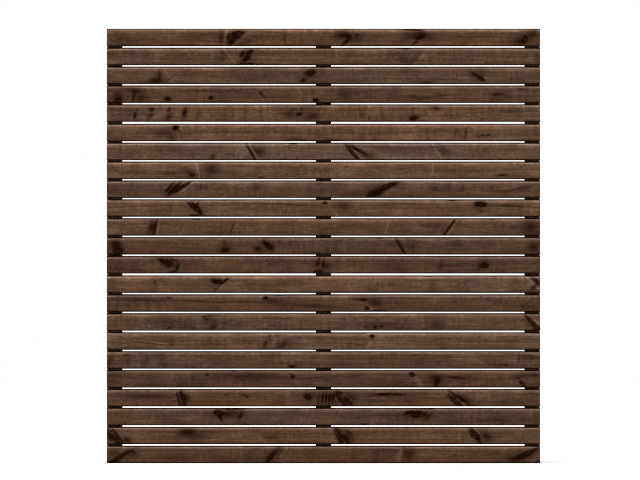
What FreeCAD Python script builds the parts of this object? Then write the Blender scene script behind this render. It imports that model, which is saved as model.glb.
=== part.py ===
import FreeCAD, Part
import os
from math import cos, pi, sin
import Sketcher

# Garden privacy screen: sloped wooden slats, screwed from behind to three upright battens.
# Millimetres. X runs along the slats, the front faces -Y and Z is up. The origin is on the
# ground, under the middle of the panel's width and depth.
#
# Every slat has a parallelogram section: the front and back faces are upright, and the top and
# bottom faces fall towards the front so that rain runs off. The corners are rounded.

SIZES = {
    "slat_count": 23,
    "slat_length": 1795,
    "slat_height": 73,          # from the lowest to the highest point of the rounded section
    "slat_thickness": 21,
    "slat_slant": 28,           # degrees that the top and bottom faces fall towards the front
    "slat_arris": 5,            # radius of the rounded long corners
    "slat_gap": 5.25,           # clear height between neighbours, seen from the front
    "wide_gap": 7.5,            # two gaps that were set wider by hand
    "loose_gap": 6.25,          # one gap that is a little wider
    "batten_width": 63,
    "batten_thickness": 28,
    "batten_arris": 3,
    "batten_inset": 1.5,        # slat ends stand past the outer battens by this much
    "screw_diameter": 4.5,
    "screw_spacing": 34,        # between the two screws of one crossing
    "head_diameter": 8.8,
    "head_recess": 0.3,         # the head lies this deep under the batten's back face
    "tip_cover": 3.7,           # wood left between a screw's tip and the slat's front face
    "tip_length": 6,
    "drive_width": 3.9,         # recess in the head, across its corners
    "drive_depth": 1.6,
    "fit_clearance": 0.1,       # around the head's cone and around the thread
    "shank_clearance": 0.25,    # around the shank in the batten
    "pilot_extra": 0.5,         # the hole in the slat runs on past the tip
}

GAP_SIZES = ("slat_gap", "wide_gap", "loose_gap")
WIDE_GAPS = (5, 13)             # gap 1 lies under the top slat
LOOSE_GAPS = (16,)
COUNTERSINK_ANGLE = 90          # the head's cone is as high as its rim is wide
DRIVE_CORNERS = 6
FULL_TURN = 360
PARALLEL = 0.999                # cosine over which an edge counts as running along an axis

# Places and sizes that follow from the sheet, as expressions.
SLAT_RISE = "Sizes.slat_thickness * tan(Sizes.slat_slant)"
CORNER_LOSS = "Sizes.slat_arris * (tan(Sizes.slat_slant) + 1 / cos(Sizes.slat_slant) - 1)"
FRONT_Y = "-(Sizes.slat_thickness + Sizes.batten_thickness) / 2"
BATTEN_FRONT_Y = f"{FRONT_Y} + Sizes.slat_thickness"
BACK_Y = f"{BATTEN_FRONT_Y} + Sizes.batten_thickness"
SCREW_LENGTH = "Sizes.batten_thickness - Sizes.head_recess + Sizes.slat_thickness - Sizes.tip_cover"
HEAD_CONE = "(Sizes.head_diameter - Sizes.screw_diameter) / 2"
BATTEN_LEFT_X = {
    "left": "-Sizes.slat_length / 2 + Sizes.batten_inset",
    "middle": "-Sizes.batten_width / 2",
    "right": "Sizes.slat_length / 2 - Sizes.batten_inset - Sizes.batten_width",
}
SCREW_ROW_Z = {
    "low": f"(Sizes.slat_height + {SLAT_RISE} - Sizes.screw_spacing) / 2",
    "high": f"(Sizes.slat_height + {SLAT_RISE} + Sizes.screw_spacing) / 2",
}

# The sketcher's own numbers for its origin and for the points of a line or a circle.
SKETCH_ORIGIN = -1
START, END, CENTRE = 1, 2, 3

doc = FreeCAD.newDocument("privacy_screen")
sheet = doc.addObject("Spreadsheet::Sheet", "Sizes")
for row, (alias, value) in enumerate(SIZES.items(), start=1):
    sheet.set(f"A{row}", alias)
    sheet.set(f"B{row}", str(value))
    sheet.setAlias(f"B{row}", alias)
doc.recompute()
slat_count = int(sheet.slat_count)


def gap_size(gap):
    """Name of the size of one gap, counted from the top."""
    if gap in WIDE_GAPS:
        return "wide_gap"
    return "loose_gap" if gap in LOOSE_GAPS else "slat_gap"


def slat_z(number):
    """Expression for the height of a slat's lowest point; slat 1 is the top one."""
    sizes_below = [gap_size(gap) for gap in range(number, slat_count)]
    terms = [f"{len(sizes_below)} * Sizes.slat_height"]
    for size in GAP_SIZES:
        terms.append(f"{sizes_below.count(size)} * Sizes.{size}")
    return " + ".join(terms)


def slat_name(number):
    return f"slat_{number:02d}"


def place(thing, x, y, z):
    thing.setExpression("Placement.Base.x", x)
    thing.setExpression("Placement.Base.y", y)
    thing.setExpression("Placement.Base.z", z)


def new_body(name, x, y, z):
    body = doc.addObject("PartDesign::Body", name)
    body.Label = name
    place(body, x, y, z)
    return body


def new_sketch(body, name, plane, offset="0"):
    """Sketch on one of the body's own origin planes, moved along the plane's normal."""
    sketch = body.newObject("Sketcher::SketchObject", name)
    support = next(part for part in body.Origin.OriginFeatures if part.Role == plane)
    sketch.AttachmentSupport = (support, "")
    sketch.MapMode = "FlatFace"
    sketch.setExpression("AttachmentOffset.Base.z", offset)
    return sketch


def dimension(sketch, kind, *geometry, size):
    """Add a driving dimension bound to a size, which replaces the start value."""
    start_value = 1.0
    index = sketch.addConstraint(Sketcher.Constraint(kind, *geometry, start_value))
    sketch.setExpression(f"Constraints[{index}]", size)


def place_from_origin(sketch, item, point, x, y):
    dimension(sketch, "DistanceX", SKETCH_ORIGIN, START, item, point, size=x)
    dimension(sketch, "DistanceY", SKETCH_ORIGIN, START, item, point, size=y)


def add_outline(sketch, corners):
    """Closed outline of straight lines whose corners are (x, y) pairs of expressions.

    The lines start as a round polygon, and their dimensions move them to their places.
    """
    count = len(corners)
    rough = [
        FreeCAD.Vector(cos(2 * pi * corner / count), sin(2 * pi * corner / count), 0)
        for corner in range(count)
    ]
    for corner in range(count):
        sketch.addGeometry(Part.LineSegment(rough[corner], rough[(corner + 1) % count]), False)
    for line in range(count):
        following = (line + 1) % count
        sketch.addConstraint(Sketcher.Constraint("Coincident", line, END, following, START))
    for line, (x, y) in enumerate(corners):
        place_from_origin(sketch, line, START, x, y)


def add_circles(sketch, centres, diameter):
    """Equal circles at (x, y) pairs of expressions."""
    normal = FreeCAD.Vector(0, 0, 1)
    start_radius = 1.0
    for index, (x, y) in enumerate(centres):
        rough = FreeCAD.Vector(index, index, 0)
        circle = sketch.addGeometry(Part.Circle(rough, normal, start_radius), False)
        place_from_origin(sketch, circle, CENTRE, x, y)
        dimension(sketch, "Diameter", circle, size=diameter)


def pad(body, sketch, name, length):
    feature = body.newObject("PartDesign::Pad", name)
    feature.Profile = sketch
    feature.setExpression("Length", length)
    return feature


def pocket(body, sketch, name, length, reverse):
    """Cut a pocket, and make sure that it takes material away."""
    before = body.Shape.Volume
    feature = body.newObject("PartDesign::Pocket", name)
    feature.Profile = sketch
    feature.Reversed = reverse
    feature.setExpression("Length", length)
    doc.recompute()
    if body.Shape.Volume >= before:
        raise RuntimeError(f"{name} cuts nothing")
    return feature


def round_long_edges(body, base, name, axis, radius):
    """Round the edges that run along an axis."""
    doc.recompute()
    names = []
    for index, edge in enumerate(base.Shape.Edges, start=1):
        along = (edge.Vertexes[1].Point - edge.Vertexes[0].Point).normalize()
        if abs(along.dot(axis)) > PARALLEL:
            names.append(f"Edge{index}")
    feature = body.newObject("PartDesign::Fillet", name)
    feature.Base = (base, names)
    feature.setExpression("Radius", radius)
    return feature


def batten_centre_x(side):
    return f"{BATTEN_LEFT_X[side]} + Sizes.batten_width / 2"


def make_slat(number):
    """One slat: sloped section, rounded corners and the holes that its six screws leave."""
    name = slat_name(number)
    body = new_body(name, "-Sizes.slat_length / 2", FRONT_Y, slat_z(number))

    section = new_sketch(body, f"{name}_section", "YZ_Plane")
    front, back = "0", "Sizes.slat_thickness"
    lowest = f"-{CORNER_LOSS}"
    highest = f"Sizes.slat_height + {CORNER_LOSS}"
    add_outline(section, [
        (front, lowest),
        (back, f"{lowest} + {SLAT_RISE}"),
        (back, highest),
        (front, f"{highest} - {SLAT_RISE}"),
    ])
    board = pad(body, section, f"{name}_board", "Sizes.slat_length")
    round_long_edges(body, board, f"{name}_arris", FreeCAD.Vector(1, 0, 0), "Sizes.slat_arris")

    holes = new_sketch(body, f"{name}_holes", "XZ_Plane", "-Sizes.slat_thickness")
    centres = [
        (f"{batten_centre_x(side)} + Sizes.slat_length / 2", z)
        for side in BATTEN_LEFT_X
        for z in SCREW_ROW_Z.values()
    ]
    add_circles(holes, centres, "Sizes.screw_diameter + 2 * Sizes.fit_clearance")
    depth = "Sizes.slat_thickness - Sizes.tip_cover + Sizes.pilot_extra"
    doc.recompute()
    pocket(body, holes, f"{name}_pilots", depth, reverse=True)
    return body


def make_batten(side):
    """One upright: square section, rounded corners and two countersunk holes per slat."""
    name = f"batten_{side}"
    body = new_body(name, BATTEN_LEFT_X[side], BATTEN_FRONT_Y, "0")

    section = new_sketch(body, f"{name}_section", "XY_Plane")
    width, thickness = "Sizes.batten_width", "Sizes.batten_thickness"
    add_outline(section, [("0", "0"), (width, "0"), (width, thickness), ("0", thickness)])
    post = pad(body, section, f"{name}_post", f"{slat_z(1)} + Sizes.slat_height")
    round_long_edges(body, post, f"{name}_arris", FreeCAD.Vector(0, 0, 1), "Sizes.batten_arris")

    holes = new_sketch(body, f"{name}_holes", "XZ_Plane", "-Sizes.batten_thickness")
    shank_hole = "Sizes.screw_diameter + 2 * Sizes.shank_clearance"
    centres = [
        ("Sizes.batten_width / 2", f"{slat_z(number)} + {z}")
        for number in range(1, slat_count + 1)
        for z in SCREW_ROW_Z.values()
    ]
    add_circles(holes, centres, shank_hole)
    doc.recompute()
    before = body.Shape.Volume
    drilling = body.newObject("PartDesign::Hole", f"{name}_drilling")
    drilling.Profile = holes
    drilling.Reversed = True
    drilling.DepthType = "ThroughAll"
    drilling.HoleCutType = "Countersink"
    drilling.HoleCutCustomValues = True
    drilling.HoleCutCountersinkAngle = COUNTERSINK_ANGLE
    drilling.setExpression("Diameter", shank_hole)
    cone_mouth = "Sizes.head_diameter + 2 * (Sizes.head_recess + Sizes.fit_clearance)"
    drilling.setExpression("HoleCutDiameter", cone_mouth)
    doc.recompute()
    if body.Shape.Volume >= before:
        raise RuntimeError(f"{name} has no screw holes")
    return body


def make_screw():
    """Countersunk wood screw along Y: the head's flat top at the origin, the tip at -Y.

    The threaded part is a plain cylinder as wide as the thread.
    """
    body = new_body("wood_screw", "0", "0", "0")
    section = new_sketch(body, "screw_section", "XY_Plane")
    radius = "Sizes.screw_diameter / 2"
    add_outline(section, [
        ("0", "0"),
        ("0", f"-({SCREW_LENGTH})"),
        (radius, f"-({SCREW_LENGTH}) + Sizes.tip_length"),
        (radius, f"-{HEAD_CONE}"),
        ("Sizes.head_diameter / 2", "0"),
    ])
    turned = body.newObject("PartDesign::Revolution", "screw_turned")
    turned.Profile = section
    turned.ReferenceAxis = (section, ["V_Axis"])
    turned.Angle = FULL_TURN
    doc.recompute()

    recess = new_sketch(body, "screw_recess", "XZ_Plane")
    corners = []
    for corner in range(DRIVE_CORNERS):
        angle = FULL_TURN * corner / DRIVE_CORNERS
        corners.append((
            f"Sizes.drive_width / 2 * cos({angle})",
            f"Sizes.drive_width / 2 * sin({angle})",
        ))
    add_outline(recess, corners)
    doc.recompute()
    pocket(body, recess, "screw_drive", "Sizes.drive_depth", reverse=True)
    return body


def make_screw_group(side, screw):
    """All screws of one batten, as separate solids: two at each slat."""
    copies = []
    for number in range(1, slat_count + 1):
        for row, z in SCREW_ROW_Z.items():
            copy = doc.addObject("App::Link", f"screw_{side}_{number:02d}_{row}")
            copy.LinkedObject = screw
            copy.LinkTransform = False
            head_y = f"{BACK_Y} - Sizes.head_recess"
            place(copy, batten_centre_x(side), head_y, f"{slat_z(number)} + {z}")
            copies.append(copy)
    group = doc.addObject("Part::Compound", f"screws_{side}")
    group.Label = f"screws_{side}"
    group.Links = copies
    return group


slats = [make_slat(number) for number in range(1, slat_count + 1)]
battens = [make_batten(side) for side in BATTEN_LEFT_X]
wood_screw = make_screw()
screw_groups = [make_screw_group(side, wood_screw) for side in BATTEN_LEFT_X]
doc.recompute()

for item in doc.Objects:
    if "Invalid" in item.State or "Error" in item.State:
        raise RuntimeError(f"{item.Name} failed: {item.State}")

sub_parts = slats + battens + screw_groups
for sub_part in sub_parts:
    shape = sub_part.Shape
    if shape.isNull() or not shape.isValid():
        raise RuntimeError(f"{sub_part.Label} has no valid shape")

os.makedirs("parts", exist_ok=True)
for sub_part in sub_parts:
    sub_part.Shape.exportStep(os.path.join("parts", f"{sub_part.Label}.step"))
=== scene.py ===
"""Looks of a slatted garden privacy screen: stained pine slats, uprights and their screws."""
import math

import bmesh
import bpy
import numpy as np
from mathutils import Matrix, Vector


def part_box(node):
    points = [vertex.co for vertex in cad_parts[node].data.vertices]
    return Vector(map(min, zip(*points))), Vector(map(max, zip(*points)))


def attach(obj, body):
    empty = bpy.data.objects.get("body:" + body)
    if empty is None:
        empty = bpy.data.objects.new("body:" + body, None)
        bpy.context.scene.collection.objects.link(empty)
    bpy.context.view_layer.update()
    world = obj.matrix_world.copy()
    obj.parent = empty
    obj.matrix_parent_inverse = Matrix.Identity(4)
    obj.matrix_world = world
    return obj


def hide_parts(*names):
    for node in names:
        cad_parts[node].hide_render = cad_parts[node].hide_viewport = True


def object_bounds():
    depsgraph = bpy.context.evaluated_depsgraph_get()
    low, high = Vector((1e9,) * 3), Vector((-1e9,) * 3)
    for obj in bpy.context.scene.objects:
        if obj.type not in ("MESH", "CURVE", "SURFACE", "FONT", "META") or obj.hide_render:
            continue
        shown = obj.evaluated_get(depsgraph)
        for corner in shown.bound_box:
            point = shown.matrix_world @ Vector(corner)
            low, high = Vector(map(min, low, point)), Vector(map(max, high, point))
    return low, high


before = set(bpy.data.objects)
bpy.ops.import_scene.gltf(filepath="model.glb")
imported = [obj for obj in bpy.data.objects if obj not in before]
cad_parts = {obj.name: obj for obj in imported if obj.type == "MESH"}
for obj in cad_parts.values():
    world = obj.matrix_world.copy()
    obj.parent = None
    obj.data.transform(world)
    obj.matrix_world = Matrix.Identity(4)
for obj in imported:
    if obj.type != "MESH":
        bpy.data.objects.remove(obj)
cad_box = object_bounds()

# ---------------------------------------------------------------- sizes

MM = 0.001
SLAT_COUNT = 23
ROOT = "root"

PANEL_LOW, PANEL_HIGH = cad_box
FRONT_Y = PANEL_LOW.y
BATTENS = ("batten_left", "batten_middle", "batten_right")

# Sections (mm). They follow the solids of the frame.
SLAT_THICKNESS = 21.0
SLAT_SLANT = 28.0
SLAT_ARRIS = 5.0
BATTEN_WIDTH = 63.0
BATTEN_ARRIS = 3.0

# Screws and their holes (mm): as in the frame's solids, with a real thread.
SCREW_SPACING = 34.0
SCREW_LENGTH = 45.0
SCREW_RADIUS = 2.25
HEAD_RADIUS = 4.4
HEAD_RECESS = 0.3
DRIVE_RADIUS = 1.95
DRIVE_DEPTH = 1.6
FIT_CLEARANCE = 0.1
SHANK_CLEARANCE = 0.25
PILOT_EXTRA = 0.5
HEAD_TOP_Y = PANEL_HIGH.y / MM - HEAD_RECESS

# ---------------------------------------------------------------- camera

IMAGE_WIDTH_PX = 640
MM_PER_PIXEL = 4.1425
LENS = 1000.0
SENSOR = 36.0
VIEW_X = -0.0143
VIEW_Z = 0.9246


def make_camera():
    """A very long lens, level and square to the front, as in the photograph."""
    shown_width = IMAGE_WIDTH_PX * MM_PER_PIXEL * MM
    distance = LENS / SENSOR * shown_width
    data = bpy.data.cameras.new("Camera")
    data.lens = LENS
    data.sensor_width = SENSOR
    data.clip_start = 1.0
    data.clip_end = 3 * distance
    camera = bpy.data.objects.new("Camera", data)
    camera.location = (VIEW_X, FRONT_Y - distance, VIEW_Z)
    camera.rotation_euler = (math.radians(90), 0, 0)
    bpy.context.scene.collection.objects.link(camera)
    bpy.context.scene.camera = camera


make_camera()

# ---------------------------------------------------------------- node helpers


def add_node(tree, kind, settings=None, inputs=None):
    """Adds a node. An input is a socket to link or a plain value."""
    made = tree.nodes.new(kind)
    for name, value in (settings or {}).items():
        setattr(made, name, value)
    for key, value in (inputs or {}).items():
        if isinstance(value, bpy.types.NodeSocket):
            tree.links.new(value, made.inputs[key])
        else:
            made.inputs[key].default_value = value
    return made


def maths(tree, operation, first, second=0.0):
    """The value of a Math node."""
    return add_node(tree, "ShaderNodeMath", {"operation": operation}, {0: first, 1: second}).outputs[0]


def vector_maths(tree, operation, first, second):
    """The vector of a Vector Math node."""
    made = add_node(tree, "ShaderNodeVectorMath", {"operation": operation}, {0: first, 1: second})
    return made.outputs["Vector"]


def scaled_noise(tree, vector, scale, detail=3.0, roughness=0.55):
    """Noise from 0 to 1 whose size differs along the three axes (scale per metre)."""
    stretched = vector_maths(tree, "MULTIPLY", vector, scale)
    inputs = {"Vector": stretched, "Scale": 1.0, "Detail": detail, "Roughness": roughness}
    return add_node(tree, "ShaderNodeTexNoise", None, inputs).outputs["Fac"]


def smooth_range(tree, value, low, high, to_low=0.0, to_high=1.0):
    """A smooth step of value from low to high."""
    inputs = {0: value, 1: low, 2: high, 3: to_low, 4: to_high}
    return add_node(tree, "ShaderNodeMapRange", {"interpolation_type": "SMOOTHSTEP"}, inputs).outputs[0]


def mix_colour(tree, factor, first, second, blend="MIX"):
    """The colour of a Mix node."""
    settings = {"data_type": "RGBA", "blend_type": blend, "clamp_factor": True}
    inputs = {0: factor, 6: first, 7: second}
    return add_node(tree, "ShaderNodeMix", settings, inputs).outputs[2]


def new_group(name, inputs, outputs):
    """A node group with its named sockets, and its input and output nodes."""
    group = bpy.data.node_groups.new(name, "ShaderNodeTree")
    for socket, kind in inputs:
        group.interface.new_socket(socket, in_out="INPUT", socket_type=kind)
    for socket, kind in outputs:
        group.interface.new_socket(socket, in_out="OUTPUT", socket_type=kind)
    return group, group.nodes.new("NodeGroupInput"), group.nodes.new("NodeGroupOutput")


def linear(red, green, blue):
    """A colour seen on a screen (0 to 255) as the linear colour that a shader takes."""
    channels = []
    for value in (red, green, blue):
        share = value / 255
        channels.append(share / 12.92 if share <= 0.04045 else ((share + 0.055) / 1.055) ** 2.4)
    return (*channels, 1.0)


# ---------------------------------------------------------------- light and floor

FLOOR_RADIUS = 40.0
FLOOR_TONE = (0.62, 0.62, 0.61, 1.0)
KEY_ELEVATION = 66.0
KEY_SIDE = -6.0
KEY_SOFTNESS = 28.0
KEY_STRENGTH = 4.8
BACK_ELEVATION = 40.0
BACK_SIDE = 30.0
BACK_SOFTNESS = 60.0
BACK_STRENGTH = 1.6
SKY_IN_GLOSS = 0.25
SKY_STOPS = (
    (0.00, 0.10),
    (0.46, 0.10),
    (0.47, 1.00),
    (0.53, 1.00),
    (0.55, 0.18),
    (0.80, 0.25),
    (1.00, 0.60),
)


def make_world():
    """A white horizon for the backdrop, and a softer grey above it like a studio ceiling."""
    world = bpy.data.worlds.new("Studio")
    world.use_nodes = True
    tree = world.node_tree
    tree.nodes.clear()
    place = add_node(tree, "ShaderNodeTexCoord").outputs["Generated"]
    height = add_node(tree, "ShaderNodeSeparateXYZ", None, {0: place}).outputs["Z"]
    share = maths(tree, "MULTIPLY_ADD", height, 0.5)
    share.node.inputs[2].default_value = 0.5
    ramp = add_node(tree, "ShaderNodeValToRGB", None, {0: share})
    stops = ramp.color_ramp.elements
    while len(stops) < len(SKY_STOPS):
        stops.new(0.5)
    for stop, (position, level) in zip(stops, SKY_STOPS):
        stop.position = position
        stop.color = (level, level, level, 1.0)
    glossy = add_node(tree, "ShaderNodeLightPath").outputs["Is Glossy Ray"]
    strength = maths(tree, "MULTIPLY_ADD", glossy, SKY_IN_GLOSS - 1.0)
    strength.node.inputs[2].default_value = 1.0
    inputs = {"Color": ramp.outputs["Color"], "Strength": strength}
    background = add_node(tree, "ShaderNodeBackground", None, inputs)
    add_node(tree, "ShaderNodeOutputWorld", None, {"Surface": background.outputs[0]})
    bpy.context.scene.world = world


def make_sun(name, strength, elevation, side, softness, behind=False):
    """A soft distant light. Elevation is above the horizon, side is to the right of the view, in degrees."""
    data = bpy.data.lights.new(name, "SUN")
    data.energy = strength
    data.angle = math.radians(softness)
    sun = bpy.data.objects.new(name, data)
    turn = math.radians(side + (180 if behind else 0))
    sun.rotation_euler = (math.radians(90 - elevation), 0, turn)
    sun.visible_glossy = not behind
    bpy.context.scene.collection.objects.link(sun)


def make_floor():
    """A wide pale disc at the foot of the screen."""
    mesh = bpy.data.meshes.new("Floor")
    shape = bmesh.new()
    bmesh.ops.create_circle(shape, cap_ends=True, segments=128, radius=FLOOR_RADIUS)
    shape.to_mesh(mesh)
    shape.free()
    floor = bpy.data.objects.new("Floor", mesh)
    bpy.context.scene.collection.objects.link(floor)
    material = bpy.data.materials.new("PaleFloor")
    material.use_nodes = True
    shader = material.node_tree.nodes["Principled BSDF"]
    shader.inputs["Base Color"].default_value = FLOOR_TONE
    shader.inputs["Roughness"].default_value = 0.9
    shader.inputs["Specular IOR Level"].default_value = 0.1
    mesh.materials.append(material)
    floor.visible_glossy = False


make_world()
make_sun("Key", KEY_STRENGTH, KEY_ELEVATION, KEY_SIDE, KEY_SOFTNESS)
make_sun("BackFill", BACK_STRENGTH, BACK_ELEVATION, BACK_SIDE, BACK_SOFTNESS, behind=True)
make_floor()
bpy.context.scene.view_settings.view_transform = "Standard"
bpy.context.scene.cycles.filter_width = 1.0

# ---------------------------------------------------------------- marks in the wood

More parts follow.
